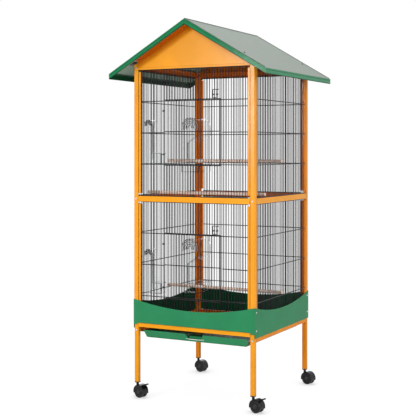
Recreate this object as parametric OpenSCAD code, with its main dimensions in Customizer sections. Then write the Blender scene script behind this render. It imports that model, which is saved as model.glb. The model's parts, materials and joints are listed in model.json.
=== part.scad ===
// Flight bird cage on casters: angle-steel frame, welded wire panels, gabled roof, pull-out tray.
// Millimetres, Z up, front towards -Y, origin on the floor under the middle of the frame.

/* [Frame] */
// Outside width of the post frame
frame_w = 585; // [520:5:680]
// Outside depth of the post frame
frame_d = 597; // [530:1:690]
// Width of each side of the corner posts, with the stiles along their edges
post_leg = 34; // [30:0.5:38]
// How far the stiles sit back from the posts' faces
stile_step = 2.5; // [1.5:0.5:4]
// Depth of the stiles' edges
stile_d = 12; // [8:1:15]
// Sheet thickness of posts and rails
angle_t = 1.5; // [1.2:0.1:2]
// Outside radius of the bends in posts and rails
bend_r = 3; // [2:0.5:4]
// Outside width of the square leg tubes
leg_w = 20; // [18:1:22]
// Wall of the leg tubes
leg_wall = 1.2; // [1:0.1:1.6]
// Corner radius of the leg tubes
leg_r = 2.5; // [2:0.5:4]
// Height of the leg ends above the floor
caster_h = 68; // [66:1:80]
// Height of the side rails above the leg ends
leg_clear = 219; // [180:1:260]
// How far the legs reach up inside the posts, from the side rails
leg_lap = 133; // [115:1:140]
// Height of the bottom rails
rail_h = 18; // [15:1:22]
// Height of the middle rails
mid_rail_h = 24; // [20:1:30]
// Height of the top rails
top_rail_h = 25; // [20:1:30]
// How much higher the front bottom rail sits than the others, for the tray to pass
front_rise = 24; // [20:1:30]
// Inward flange of the middle and top rails
rail_flange = 22; // [16:1:26]

/* [Wire panels] */
// Spacing of the upright bars
bar_pitch = 13; // [12:0.5:15]
// Diameter of the upright bars
bar_d = 2.6; // [2:0.1:3]
// Spacing of the cross wires
row_pitch = 137.5; // [125:0.5:150]
// Diameter of the cross wires
row_d = 3.8; // [3:0.1:4.2]
// Bars on each side of the door's middle bar
door_bars = 10; // [8:1:12]
// How far the door laps over the cross wires above and below the doorway
door_lap = 4; // [3:0.5:6]
// Lift of the door latches
latch_lift = 10; // [8:1:12]
// Wire of the door latches
latch_d = 3; // [2.4:0.1:3.4]

/* [Roof] */
// Slope of the roof in degrees
roof_pitch = 30.5; // [26:0.5:36]
// Overhang of the eaves past the frame
eave_over = 83; // [60:1:110]
// Overhang of the verges past the frame
verge_over = 75; // [60:1:100]
// Thickness of the roof sheets
sheet_t = 3; // [2:0.5:4]
// Depth of the green roof edging
edge_h = 20; // [16:1:26]

/* [Aprons and tray] */
// Height of the aprons at the corners, above the front rail
apron_h = 104; // [95:1:115]
// Hollow of the aprons' top edge
apron_dip = 36; // [20:1:45]
// Depth of the tray
tray_h = 22; // [16:1:26]
// Height of the tray's front wall
tray_front_h = 30; // [26:1:34]
// How far the tray's floor stops short of the legs on each side
tray_inset = 28; // [24:1:34]

/* [Fittings] */
// Diameter of the perches
perch_d = 14; // [12:1:16]
// Width of the seed feeders
feeder_w = 130; // [110:1:140]
// Width of the drinkers
drinker_w = 44; // [40:1:60]
// Height of the seed feeders
feeder_h = 257; // [245:1:270]
// Height of the drinkers
drinker_h = 194; // [180:1:210]
// Depth of the seed feeders' bins
bin_d = 88; // [76:1:96]
// Depth of the drinkers' bottles
bottle_d = 42; // [36:1:50]
// Depth of the drinkers' cups
cup_d = 44; // [34:1:50]
// Height of the troughs and cups
trough_h = 45; // [36:1:50]
// Diameter of the caster wheels
wheel_d = 55; // [50:1:58]
// Distance of the caster axles behind the stems
trail = 20; // [18:1:24]
// Angle that the casters are swivelled to, from trailing behind
swivel = -104; // [-180:1:180]

/* [Hidden] */
$fn = 48;

ORANGE = "#F7A11B";
GREEN = "#2F9460";
ROOF_GREY = "#9CA79D";
WIRE_BLACK = "#1A1A1C";
WOOD = "#D9B08C";
CLEAR = "#DDE6E8";
PLASTIC_BLACK = "#141416";
STEEL = "#C9C9C6";

FL = [-1, -1];
FR = [1, -1];
RL = [-1, 1];
RR = [1, 1];
CORNERS = [FL, FR, RL, RR];

// Gap between pieces that rest on each other
seat = 0.1;
// Radial clearance of a turning or sliding fit
run_gap = 0.05;
// How far a cutting shape reaches past what it cuts
cut = 1;
half_w = frame_w / 2;
half_d = frame_d / 2;

// Heights of the frame
z_side = caster_h + leg_clear;
z_side_top = z_side + rail_h;
z_front = z_side + front_rise;
z_front_top = z_front + rail_h;
row_edge = row_d / 2 + seat;
low_top_row = z_side_top + 7 + 4 * row_pitch;
z_mid = low_top_row + 1;
z_mid_top = z_mid + mid_rail_h;
up_end_row = z_mid_top + row_edge;
z_top_rail = up_end_row + 4 * row_pitch + row_edge;
z_top = z_top_rail + top_rail_h;
z_post = z_front + 11;
z_leg_top = z_side + leg_lap;

// Each post's face outside its stiles covers the leg; the stiles stop short of the rails
post_main = angle_t + seat + leg_w + 1;
notch_low = 10;
notch_high = 12;
STILES = [
    [z_leg_top + 1, z_mid - notch_low],
    [z_mid_top + notch_high, z_top_rail - notch_low],
];

LOW_ROWS = [for (k = [1:4]) low_top_row - (4 - k) * row_pitch];
UP_ROWS = [for (k = [0:4]) up_end_row + k * row_pitch];

// Depths of the wires, measured inwards from the outside of the frame
row_y = angle_t + seat + row_d / 2;
bar_y = row_y + (row_d + bar_d) / 2;
row_front = row_y - row_d / 2;
door_bar_y = row_front - 0.4 - bar_d / 2;
door_row_y = door_bar_y - (row_d + bar_d) / 2;
door_half = (door_bars + 0.5) * bar_pitch;
clip_h = 7;
latch_y = door_row_y - row_d / 2 - 0.4 - latch_d / 2;
latch_x = (door_bars - 1.5) * bar_pitch;
latch_half = 9;
latch_thumb = 9;
latch_rest = row_d / 2 + 0.8 + latch_d / 2;
guide_h = 5;
guide_rise = 12;
latch_h = guide_rise + guide_h + latch_lift + 8;

// Roof heights
tan_roof = tan(roof_pitch);
slope_k = 1 / cos(roof_pitch);
roof_gap = 1.2;
z_apex = z_top + roof_gap + sheet_t * slope_k + tan_roof * half_w;
roof_x = half_w + eave_over;
roof_y = half_d + verge_over;
edge_t = 1.2;
edge_lip = 14;
gable_t = 1.2;
gable_x = half_w - 16.5;
gable_z = z_top - 16;
rafter_w = 30;
rafter_h = 11;

// Feeders
feeder_y = bar_y + bar_d / 2 + seat;
feeder_drop = 42;
bin_throat = 34;
bin_straight = 38;
funnel_h = 36;

// Aprons
apron_t = 1;
z_apron_top = z_front_top + apron_h;
corner_tab = 20;

// Tray
tray_t = 0.8;
tray_rim_x = half_w - angle_t - leg_w - 3;
tray_x = half_w - angle_t - leg_w - tray_inset;
tray_flare = 9;
tray_lean = 14;
runner_w = 33;
z_runner = z_side + angle_t;
z_tray_rim = z_runner + 0.5;
tray_y = half_d - 12;
pull_w = 88;

// Casters
stem_d = 8;
axle_d = 6;
axle_z = wheel_d / 2;
wheel_w = 13;
wheel_gap = 0.5;
web_half = 3;
hood_gap = 0.8;
hood_t = 1.7;
hood_r = axle_z + hood_gap + hood_t;
hood_half = web_half + wheel_gap + wheel_w + 0.5;
plug_flange = 4;
lever_r = hood_r + 5;
lever_tilt = 55;
lever_up = 18;
lever_y = trail + lever_r * cos(lever_tilt);
lever_z = axle_z + lever_r * sin(lever_tilt);
lever_pin_d = 3;
lever_t = 3;
lug_d = 8;
lug_x = 8;
lug_t = 3;
leg_x = half_w - angle_t - seat - leg_w / 2;
leg_y = half_d - angle_t - seat - leg_w / 2;

// Screws
screw_d = 3.8;
head_d = 7;
head_h = 2.2;
hole_d = 4.2;
screw_in = 11;
apron_screw_y = half_d - screw_in - 3;
z_mid_screw = z_mid + mid_rail_h / 2;
z_top_screw = z_top_rail + 10;
z_leg_screw = z_side + rail_h / 2;
Z_APRON_SCREWS = [z_side_top + 31, z_leg_top - 8];
roof_screw_x = half_w - 37;
roof_screw_y = half_d + 20;

// Height of the roof's upper surface at a distance from the ridge, less a depth square to the slope
function roof_z(x, depth = 0) = z_apex - tan_roof * abs(x) - depth * slope_k;

// Half-length along each side between the outsides of its two posts
function span(side) = (side == "front" || side == "rear") ? half_w : half_d;

// Turns a piece drawn with its outside at y = 0 and its inside at +y to stand on one side of the cage
module on_side(side) {
    turn = side == "front" ? 0 : side == "right" ? 90 : side == "rear" ? 180 : 270;
    out = (side == "front" || side == "rear") ? half_d : half_w;
    rotate([0, 0, turn]) translate([0, -out, 0]) children();
}

// Places a piece drawn for the right rear corner at another corner
module at_corner(c) {
    mirror([c[0] < 0 ? 1 : 0, 0, 0]) mirror([0, c[1] < 0 ? 1 : 0, 0]) children();
}

// Box given by its least and greatest corners
module box(a, b) {
    translate(a) cube(b - a);
}

// Round rod from one point along an axis
module rod_x(x0, x1, y, z, d) {
    translate([x0, y, z]) rotate([0, 90, 0]) cylinder(d = d, h = x1 - x0);
}

module rod_y(x, y0, y1, z, d) {
    translate([x, y1, z]) rotate([90, 0, 0]) cylinder(d = d, h = y1 - y0);
}

module rod_z(x, y, z0, z1, d) {
    translate([x, y, z0]) cylinder(d = d, h = z1 - z0);
}

// Outline in X and Z carried along Y
module along_y(y0, y1) {
    translate([0, y1, 0]) rotate([90, 0, 0]) linear_extrude(height = y1 - y0) children();
}

// Outline in Y and Z carried along X
module along_x(x0, x1) {
    translate([x0, 0, 0]) rotate([90, 0, 90]) linear_extrude(height = x1 - x0) children();
}

// L-shaped area with its outer corner at the origin, its legs towards -x and -y, and a round corner
module round_corner(x_leg, y_leg, r) {
    union() {
        translate([-x_leg, -y_leg]) square([x_leg - r, y_leg]);
        translate([-x_leg, -y_leg]) square([x_leg, y_leg - r]);
        translate([-r, -r]) circle(r = r);
    }
}

// Section of a bent sheet angle, its legs towards -x and -y from the outer corner at the origin
module bent_angle(x_leg, y_leg) {
    difference() {
        round_corner(x_leg, y_leg, bend_r);
        translate([-angle_t, -angle_t]) round_corner(x_leg, y_leg, bend_r - angle_t);
    }
}

// Square with round corners about the origin
module round_square(half, r) {
    union() {
        square([2 * half, 2 * (half - r)], center = true);
        square([2 * (half - r), 2 * half], center = true);
        for (sx = [-1, 1], sy = [-1, 1])
            translate([sx * (half - r), sy * (half - r)]) circle(r = r);
    }
}

// Screw holes through the front and rear faces of a corner, drawn for the right rear corner
module face_holes(heights) {
    for (z = heights)
        rod_y(half_w - screw_in, leg_y - leg_w / 2 - cut, half_d + cut, z, hole_d);
}

module apron_holes() {
    for (z = Z_APRON_SCREWS)
        rod_x(half_w - screw_in + head_h, half_w + cut, apron_screw_y, z, hole_d);
}

// Frame

// Section of the stile along one side of a post: a step back, a narrow face and a return edge
module stile_section() {
    polygon([
        [angle_t - post_main, -angle_t / 2],
        [-post_main, -angle_t / 2],
        [-post_main, -stile_step],
        [-post_leg, -stile_step],
        [-post_leg, -stile_step - stile_d],
        [angle_t - post_leg, -stile_step - stile_d],
        [angle_t - post_leg, -stile_step - angle_t],
        [angle_t - post_main, -stile_step - angle_t],
    ]);
}

// Corner post: a bent angle with a stile along each edge, between the rails
module post(c) {
    color(ORANGE) at_corner(c) difference() {
        translate([half_w, half_d, 0]) union() {
            translate([0, 0, z_post]) linear_extrude(height = z_top - z_post)
                bent_angle(post_main, post_main);
            for (zs = STILES, turn = [0, 1])
                translate([0, 0, zs[0]]) linear_extrude(height = zs[1] - zs[0])
                    mirror([turn, -turn]) stile_section();
        }
        face_holes([z_mid_screw, z_top_screw]);
        apron_holes();
    }
}

// Square block with round edges about the middle of the right rear leg
module leg_box(half, r, z0, z1) {
    translate([leg_x, leg_y, z0]) linear_extrude(height = z1 - z0) round_square(half, r);
}

module leg(c) {
    color(ORANGE) at_corner(c) difference() {
        leg_box(leg_w / 2, leg_r, caster_h, z_leg_top);
        leg_box(leg_w / 2 - leg_wall, leg_r - leg_wall, caster_h - cut, z_leg_top + cut);
        face_holes([z_leg_screw]);
        apron_holes();
    }
}

// Front and rear bottom rail: a strip with a flange under the wire panel and a tab against each leg
module bottom_rail(side) {
    end = span(side) - angle_t - leg_w - 2 * seat;
    y0 = angle_t + seat;
    z0 = side == "front" ? z_front : z_side;
    color(ORANGE) on_side(side) union() {
        along_x(-end, end) translate([y0, z0 + rail_h]) mirror([1, 0]) bent_angle(leg_w, rail_h);
        end_tabs(end, y0, z0, z0 + rail_h);
    }
}

// Tabs at both ends of a bottom rail, against the legs and clear of the rail's bend
module end_tabs(end, y0, z0, z1) {
    for (s = [0, 1])
        mirror([s, 0, 0])
            box([end - angle_t, y0 + angle_t / 2, z0 + bend_r], [end, y0 + leg_w, z1 - bend_r]);
}

// Side bottom rail: an angle whose wide flange is the tray's runner
module runner_rail(side) {
    end = span(side) - angle_t - leg_w - 2 * seat;
    y0 = angle_t + seat;
    color(ORANGE) on_side(side) difference() {
        union() {
            along_x(-end, end) translate([y0, z_side]) rotate(180) bent_angle(runner_w, rail_h);
            end_tabs(end, y0, z_side, z_side_top);
        }
        for (s = [-1, 1])
            rod_x(s * end - 2 * angle_t, s * end + 2 * angle_t, screw_in, z_leg_screw, hole_d);
    }
}

// Middle or top rail: a strip between the posts, an inward flange and a tab behind each post
module cross_rail(side, z0, h, screw_z) {
    end = span(side) - post_main - seat;
    tab_in = 12;
    tab_t = 1.2;
    tab_edge = 4;
    tab_out = span(side) - 5.5;
    color(ORANGE) on_side(side) difference() {
        union() {
            along_x(-end, end) translate([0, z0 + h]) mirror([1, 0]) bent_angle(rail_flange, h);
            for (s = [0, 1])
                mirror([s, 0, 0])
                    box([end - tab_in, angle_t, z0 + tab_edge],
                        [tab_out, angle_t + tab_t, z0 + h - tab_edge]);
        }
        if (side == "front" || side == "rear")
            for (s = [-1, 1])
                rod_y(s * (half_w - screw_in), -cut, angle_t + tab_t + cut, screw_z, hole_d);
    }
}

module mid_rail(side) {
    cross_rail(side, z_mid, mid_rail_h, z_mid_screw);
}

module top_rail(side) {
    cross_rail(side, z_top_rail, top_rail_h, z_top_screw);
}

// Gables and roof

module gable(side) {
    color(ORANGE) on_side(side) along_y(-seat - gable_t, -seat) polygon([
        [-gable_x, gable_z],
        [gable_x, gable_z],
        [gable_x, roof_z(gable_x, sheet_t) - seat],
        [0, roof_z(0, sheet_t) - seat],
        [-gable_x, roof_z(gable_x, sheet_t) - seat],
    ]);
}

// Strip that follows the slope between two distances from the ridge and two depths under its surface
module slope_strip(x0, x1, d0, d1) {
    polygon([
        [x0, roof_z(x0, d0)],
        [x1, roof_z(x1, d0)],
        [x1, roof_z(x1, d1)],
        [x0, roof_z(x0, d1)],
    ]);
}

// Screw holes square to the right slope
module roof_holes() {
    for (s = [-1, 1])
        translate([roof_screw_x, s * roof_screw_y, roof_z(roof_screw_x)]) rotate([0, roof_pitch, 0])
            rod_z(0, 0, -edge_h, edge_h, hole_d);
}

// The left sheet turns over the ridge and covers the joint
module roof_sheet(s) {
    ridge_fold = 7;
    fold_t = 1;
    fold_root = 2 * fold_t;
    color(ROOF_GREY) mirror([s < 0 ? 1 : 0, 0, 0]) difference() {
        union() {
            along_y(edge_t + seat - roof_y, roof_y - edge_t - seat)
                slope_strip(seat / 2, roof_x - edge_t - seat, 0, sheet_t);
            if (s < 0)
                along_y(edge_t + seat - roof_y, roof_y - edge_t - seat) polygon([
                    [fold_root, roof_z(fold_root, fold_t)],
                    [fold_root, roof_z(fold_root)],
                    [0, roof_z(0, -fold_t)],
                    [-ridge_fold, roof_z(ridge_fold, -fold_t)],
                    [-ridge_fold, roof_z(ridge_fold, -seat)],
                    [0, roof_z(0, -seat)],
                    [seat / 2, roof_z(seat / 2, fold_t)],
                ]);
        }
        roof_holes();
    }
}

// Green edging of one slope: two verges, the eave, their lips under the sheet, and two rafters at the gables
module roof_frame(s) {
    under = sheet_t + seat;
    rafter_y = half_d + seat + gable_t + seat;
    ridge_clear = 10;
    eave_clear = 8;
    rafter_x = [ridge_clear, gable_x - eave_clear];
    color(GREEN) mirror([s < 0 ? 1 : 0, 0, 0]) difference() {
        union() {
            for (v = [0, 1]) mirror([0, v, 0]) {
                along_y(roof_y - edge_t, roof_y)
                    slope_strip(seat / 2, roof_x, 0, edge_h);
                along_y(roof_y - edge_lip, roof_y - edge_t / 2)
                    slope_strip(seat / 2, roof_x - edge_t / 2, under, under + edge_t);
                along_y(rafter_y, half_d + rafter_w)
                    slope_strip(rafter_x[0], rafter_x[1], under, under + edge_t);
                along_y(rafter_y, rafter_y + edge_t)
                    slope_strip(rafter_x[0], rafter_x[1], under, under + rafter_h);
            }
            box([roof_x - edge_t, -roof_y + edge_t / 2, roof_z(roof_x) - edge_h * slope_k],
                [roof_x, roof_y - edge_t / 2, roof_z(roof_x)]);
            along_y(-roof_y + edge_t / 2, roof_y - edge_t / 2)
                slope_strip(roof_x - edge_lip, roof_x - edge_t / 2, under, under + edge_t);
        }
        roof_holes();
    }
}

// Aprons

// Sheet with a hollow top edge, its lower edge at z0 and tabs in front of the legs
module apron(side, z0, end, y0) {
    rise = z_apron_top - z0;
    bow = (end * end + apron_dip * apron_dip) / (2 * apron_dip);
    color(GREEN) on_side(side) difference() {
        union() {
            box([-end, y0 - apron_t, z0], [end, y0, z_apron_top]);
            if (z0 > z_post)
                for (s = [0, 1])
                    mirror([s, 0, 0])
                        box([end - corner_tab, y0 - apron_t, z_post], [end, y0, z0 + cut]);
        }
        translate([0, y0 + cut, z0 + rise - apron_dip + bow]) rotate([90, 0, 0])
            cylinder(r = bow, h = apron_t + 2 * cut, $fn = 200);
        if (side == "left" || side == "right")
            for (s = [-1, 1], z = Z_APRON_SCREWS)
                rod_y(s * apron_screw_y, y0 - apron_t - cut, y0 + cut, z, hole_d);
    }
}

module face_apron(side) {
    apron(side, (side == "front" ? z_front_top : z_side_top) + seat, half_w + seat + apron_t, -seat);
}

module side_apron(side) {
    apron(side, z_side_top + seat, half_d, -seat);
}

// Wire panels

// Number of bars on each side of the middle one
function bar_count(side) = floor((span(side) - post_leg - bar_d / 2 - 0.2) / bar_pitch);

// Cross wires between the stiles, with upright bars inside them; a doorway leaves out what would cross it
module wire_panel(side, rows, z0, z1, doorway = []) {
    end = span(side) - post_leg - seat;
    n = bar_count(side);
    jamb = (door_bars + 1) * bar_pitch;
    color(WIRE_BLACK) on_side(side) {
        for (z = rows)
            if (len(doorway) == 2 && z > doorway[0] && z < doorway[1])
                for (s = [0, 1])
                    mirror([s, 0, 0]) rod_x(jamb - row_d / 2, end, row_y, z, row_d);
            else
                rod_x(-end, end, row_y, z, row_d);
        for (k = [-n:n])
            if (len(doorway) == 2 && abs(k) <= door_bars) {
                rod_z(k * bar_pitch, bar_y, z0, doorway[0] + row_d / 2, bar_d);
                rod_z(k * bar_pitch, bar_y, doorway[1] - row_d / 2, z1, bar_d);
            } else {
                rod_z(k * bar_pitch, bar_y, z0, z1, bar_d);
            }
    }
}

// Clip that is crimped on the jamb bar and holds the door's hinge wire
module hinge_clip(z) {
    wall = 0.9;
    leaf = 0.8;
    jamb = -(door_bars + 1) * bar_pitch;
    back = [jamb - 2.5, door_row_y - leaf, z];
    difference() {
        union() {
            rod_z(-door_half, door_row_y, z, z + clip_h, row_d + 2 * wall);
            box(back, [-door_half, door_row_y + leaf, z + clip_h]);
            box(back, [jamb + 1, bar_y - bar_d / 2 - seat, z + clip_h]);
        }
        rod_z(-door_half, door_row_y, z - cut, z + clip_h + cut, row_d + 2 * run_gap);
    }
}

// Guide for one upright of the latch, crimped on the next bar
module latch_guide(x, bar_x, z) {
    wall = 0.9;
    web = 1.2;
    inner = min(x, bar_x) - web;
    outer = max(x, bar_x) + web;
    difference() {
        union() {
            rod_z(x, latch_y, z, z + guide_h, latch_d + 2 * wall);
            box([inner, latch_y, z], [outer, bar_y - bar_d / 2 - seat, z + guide_h]);
        }
        rod_z(x, latch_y, z - cut, z + guide_h + cut, latch_d + 2 * run_gap);
    }
}

module door_fittings(low, high) {
    inset = 40;
    guide_z = high + door_lap + latch_rest + guide_rise;
    color(WIRE_BLACK) on_side("front") {
        hinge_clip(low + inset);
        hinge_clip(high - inset - clip_h);
        for (s = [-1, 1])
            latch_guide(latch_x + s * latch_half, latch_x + s * bar_pitch / 2, guide_z);
    }
}

function low_rows(end_row) = concat([end_row], LOW_ROWS);

module upper_panel(side) {
    wire_panel(side, UP_ROWS, z_mid_top + seat, z_top_rail + 6);
}

module lower_panel(side, end_row) {
    wire_panel(side, low_rows(end_row), end_row - row_edge + seat, z_mid + 4);
}

module upper_panel_front() {
    wire_panel("front", UP_ROWS, z_mid_top + seat, z_top_rail + 6, [UP_ROWS[1], UP_ROWS[3]]);
    door_fittings(UP_ROWS[1], UP_ROWS[3]);
}

module lower_panel_front() {
    wire_panel("front", low_rows(z_front_top + row_edge), z_front_top + seat, z_mid + 4,
        [LOW_ROWS[0], LOW_ROWS[2]]);
    door_fittings(LOW_ROWS[0], LOW_ROWS[2]);
}

// Doors and latches

// Closed wire frame with a middle wire, and bars inside it
module door(rows) {
    low = rows[0] - door_lap;
    high = rows[2] + door_lap;
    color(WIRE_BLACK) on_side("front") {
        union() {
            for (s = [-1, 1]) {
                rod_z(s * door_half, door_row_y, low, high, row_d);
                for (z = [low, high])
                    translate([s * door_half, door_row_y, z]) sphere(d = row_d);
            }
            for (z = [low, rows[1] + door_lap, high])
                rod_x(-door_half, door_half, door_row_y, z, row_d);
        }
        for (k = [-door_bars:door_bars])
            rod_z(k * bar_pitch, door_bar_y, low - row_d / 2, high + row_d / 2, bar_d);
    }
}

// Loop of wire that drops in front of the door's top wire, with a thumb rest beside its top
module latch(high) {
    z0 = high + door_lap + latch_rest;
    z1 = z0 + latch_h;
    left = latch_x - latch_half;
    right = latch_x + latch_half;
    color(WIRE_BLACK) on_side("front") union() {
        for (x = [left, right])
            rod_z(x, latch_y, z0, z1, latch_d);
        rod_x(left, right, latch_y, z0, latch_d);
        rod_x(left, right + latch_thumb, latch_y, z1, latch_d);
        for (p = [[left, z0], [right, z0], [left, z1], [right + latch_thumb, z1]])
            translate([p[0], latch_y, p[1]]) sphere(d = latch_d);
    }
}

// Fittings inside the cage

// Dowel with a slot in each end that fits over a bar
module perch(y, z) {
    slot_gap = 0.25;
    bar_x = half_w - bar_y;
    end = bar_x + bar_d / 2 + 2;
    half_slot = bar_d / 2 + slot_gap;
    color(WOOD) difference() {
        rod_x(-end, end, y, z, perch_d);
        for (s = [0, 1])
            mirror([s, 0, 0])
                box([bar_x - half_slot, y - half_slot, z - perch_d], [end + cut, y + half_slot, z + perch_d]);
    }
}

// Outline of an arch that stands on y = 0
module arch(w, h) {
    union() {
        translate([-w / 2, 0]) square([w, h - w / 2]);
        translate([0, h - w / 2]) circle(d = w, $fn = 64);
    }
}

// Block with a round top along x, from y0 to y1 and standing on z
module barrel_block(w, y0, y1, z, h) {
    along_x(-w / 2, w / 2) translate([(y0 + y1) / 2, z]) arch(y1 - y0, h);
}

// Bin with a round hood that narrows to a throat above its trough, grown by g all round
module feeder_body(w, bin_d, throat, h, foot, g) {
    z_bin = foot + h - bin_d / 2 - bin_straight;
    z_throat = z_bin - funnel_h;
    back = feeder_y - g;
    barrel_block(w + 2 * g, back, feeder_y + bin_d + g, z_bin, foot + h + g - z_bin);
    along_x(-w / 2 - g, w / 2 + g) polygon([
        [back, z_throat - cut],
        [feeder_y + throat + g, z_throat - cut],
        [feeder_y + throat + g, z_throat],
        [feeder_y + bin_d + g, z_bin],
        [feeder_y + bin_d + g, z_bin + cut],
        [back, z_bin + cut],
    ]);
    box([-w / 2 - g, back, foot - g], [w / 2 + g, feeder_y + throat + g, z_throat]);
}

// Clear feeder with a trough that reaches inwards at its foot and two hooks over a cross wire
module feeder(w, bin_d, throat, reach, h, foot, x, row_z, hook_x) {
    wall = 1.6;
    mouth = 16;
    hook_w = 4;
    hook_t = 2.4;
    hook_y = row_y - row_d / 2 - 0.3;
    hook_z = row_z + row_d / 2 + 0.3;
    half = w / 2 - wall;
    front = feeder_y + throat;
    on_side("left") translate([x, 0, 0]) difference() {
        union() {
            feeder_body(w, bin_d, throat, h, foot, 0);
            box([-w / 2, feeder_y, foot], [w / 2, feeder_y + reach, foot + trough_h]);
            for (s = [-1, 1]) {
                box([s * hook_x - hook_w / 2, hook_y - hook_t, hook_z],
                    [s * hook_x + hook_w / 2, feeder_y + wall / 2, hook_z + hook_t]);
                box([s * hook_x - hook_w / 2, hook_y - hook_t, row_z - 8],
                    [s * hook_x + hook_w / 2, hook_y, hook_z + hook_t]);
            }
        }
        feeder_body(w, bin_d, throat, h, foot, -wall);
        box([-half, front - 2 * wall, foot + wall], [half, front + wall, foot + wall + mouth]);
        box([-half, front, foot + wall], [half, feeder_y + reach - wall, foot + trough_h + cut]);
    }
}

module seed_feeders() {
    color(CLEAR)
        for (row_z = [UP_ROWS[2], LOW_ROWS[1]])
            feeder(feeder_w, bin_d, bin_throat, bin_d, feeder_h, row_z - row_pitch - feeder_drop,
                   -14.5 * bar_pitch, row_z, 2 * bar_pitch);
}

module drinkers() {
    color(CLEAR)
        for (row_z = [UP_ROWS[2], LOW_ROWS[1]])
            feeder(drinker_w, bottle_d, bottle_d, bottle_d + cup_d, drinker_h, row_z - row_pitch + row_edge,
                   15.5 * bar_pitch, row_z, bar_pitch);
}

// How far back the tray's leaning front wall is at a height
function tray_front_y(z) = -tray_y + tray_lean * (z_tray_rim - tray_h + tray_front_h - z) / tray_front_h;

// Slab that follows the front wall between two heights, from y0 in front of it to y1 behind it
module tray_slab(z0, z1, y0, y1) {
    along_x(-half_w, half_w) polygon([
        [tray_front_y(z0) + y0, z0],
        [tray_front_y(z0) + y1, z0],
        [tray_front_y(z1) + y1, z1],
        [tray_front_y(z1) + y0, z1],
    ]);
}

// Pan with flared sides whose rims hang on the runners, and a leaning front wall with a finger pull
module tray() {
    z0 = z_tray_rim - tray_h;
    z1 = z0 + tray_front_h;
    flare = tray_flare * tray_h / tray_front_h;
    y0 = -tray_y;
    y1 = tray_y - 4;
    pull_low = pull_w * 0.34;
    pull_z = z0 + 9;
    pull_y = tray_front_y(pull_z);
    color(GREEN) union() {
        difference() {
            along_y(y0, y1) polygon([
                [-tray_x, z0],
                [tray_x, z0],
                [tray_x + flare, z_tray_rim],
                [tray_rim_x, z_tray_rim],
                [tray_rim_x, z_tray_rim + tray_t],
                [tray_x + flare - tray_t, z_tray_rim + tray_t],
                [tray_x - tray_t, z0 + tray_t],
                [tray_t - tray_x, z0 + tray_t],
                [tray_t - tray_x - flare, z_tray_rim + tray_t],
                [-tray_rim_x, z_tray_rim + tray_t],
                [-tray_rim_x, z_tray_rim],
                [-tray_x - flare, z_tray_rim],
            ]);
            tray_slab(z0 - 1, z1, -2 * tray_lean, 0);
        }
        along_y(y1 - tray_t, y1) polygon([
            [-tray_x, z0],
            [tray_x, z0],
            [tray_x + flare, z_tray_rim + tray_t],
            [-tray_x - flare, z_tray_rim + tray_t],
        ]);
        difference() {
            intersection() {
                along_y(y0 - 1, y0 + 2 * tray_lean) polygon([
                    [-tray_x, z0],
                    [tray_x, z0],
                    [tray_x + tray_flare, z1],
                    [-tray_x - tray_flare, z1],
                ]);
                tray_slab(z0, z1, 0, tray_t);
            }
            along_y(y0 - 1, y0 + 2 * tray_lean) polygon([
                [-pull_low, pull_z],
                [pull_low, pull_z],
                [pull_w / 2, z1 + 1],
                [-pull_w / 2, z1 + 1],
            ]);
        }
        tray_pull(pull_y, pull_w / 2, pull_z);
        tray_scoop(pull_y, pull_low, pull_z, z1);
    }
}

// Lip bent out of the cut-out, with a bowed front edge
module tray_pull(y0, half, z) {
    reach = 9;
    bow = (half * half + reach * reach) / (2 * reach);
    intersection() {
        translate([0, y0 + tray_t - reach + bow, z - tray_t]) cylinder(r = bow, h = tray_t, $fn = 120);
        box([-half, y0 - reach, z - tray_t - 1], [half, y0 + tray_t, z + 1]);
    }
}

// Plate that leans back behind the cut-out
module tray_scoop(y0, half, z0, z1) {
    back = y0 + 15;
    top = z1 - 3;
    along_x(-half, half) polygon([
        [y0 + tray_t / 4, z0 - tray_t],
        [y0 + tray_t, z0 - tray_t],
        [back + tray_t, top],
        [back, top],
        [y0 + tray_t / 4, z0],
    ]);
}

// Casters

module leg_plugs() {
    plug_in = 25;
    plug_half = leg_w / 2 - leg_wall - seat;
    z_flange = caster_h - seat - plug_flange;
    color(PLASTIC_BLACK) for (c = CORNERS) at_corner(c) difference() {
        union() {
            leg_box(leg_w / 2, leg_r, z_flange, caster_h - seat);
            leg_box(plug_half, leg_r - leg_wall, z_flange + plug_flange / 2, caster_h + plug_in);
        }
        rod_z(leg_x, leg_y, z_flange - cut, caster_h + plug_in + cut, stem_d + 2 * run_gap);
    }
}

// Puts a piece drawn around the stem under one leg, swivelled
module at_leg(c) {
    translate([c[0] * leg_x, c[1] * leg_y, 0]) rotate([0, 0, swivel]) children();
}

// Swivel fork: stem, hood over the wheels, web between them and the axle; the braked ones have lever lugs
module caster_fork(c) {
    braked = c[1] < 0;
    neck_d = 12;
    hood_low = 8;
    z_neck = caster_h - seat - plug_flange - 0.3;
    color(PLASTIC_BLACK) at_leg(c) difference() {
        union() {
            difference() {
                union() {
                    rod_x(-hood_half, hood_half, trail, axle_z, 2 * hood_r);
                    rod_z(0, 0, axle_z + 8, z_neck, neck_d);
                    if (braked)
                        for (s = [-1, 1]) lever_lug(s);
                }
                for (s = [0, 1])
                    mirror([s, 0, 0])
                        rod_x(web_half, hood_half + cut, trail, axle_z, wheel_d + 2 * hood_gap);
                box([-hood_half - cut, -neck_d, -hood_r],
                    [hood_half + cut, trail + 2 * hood_r, axle_z - hood_low]);
            }
            rod_x(-hood_half + 1, hood_half - 1, trail, axle_z, axle_d);
            rod_z(0, 0, z_neck - 5, caster_h + 23, stem_d);
        }
        if (braked)
            rod_x(-hood_half, hood_half, lever_y, lever_z, lever_pin_d + 2 * run_gap);
    }
}

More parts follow.
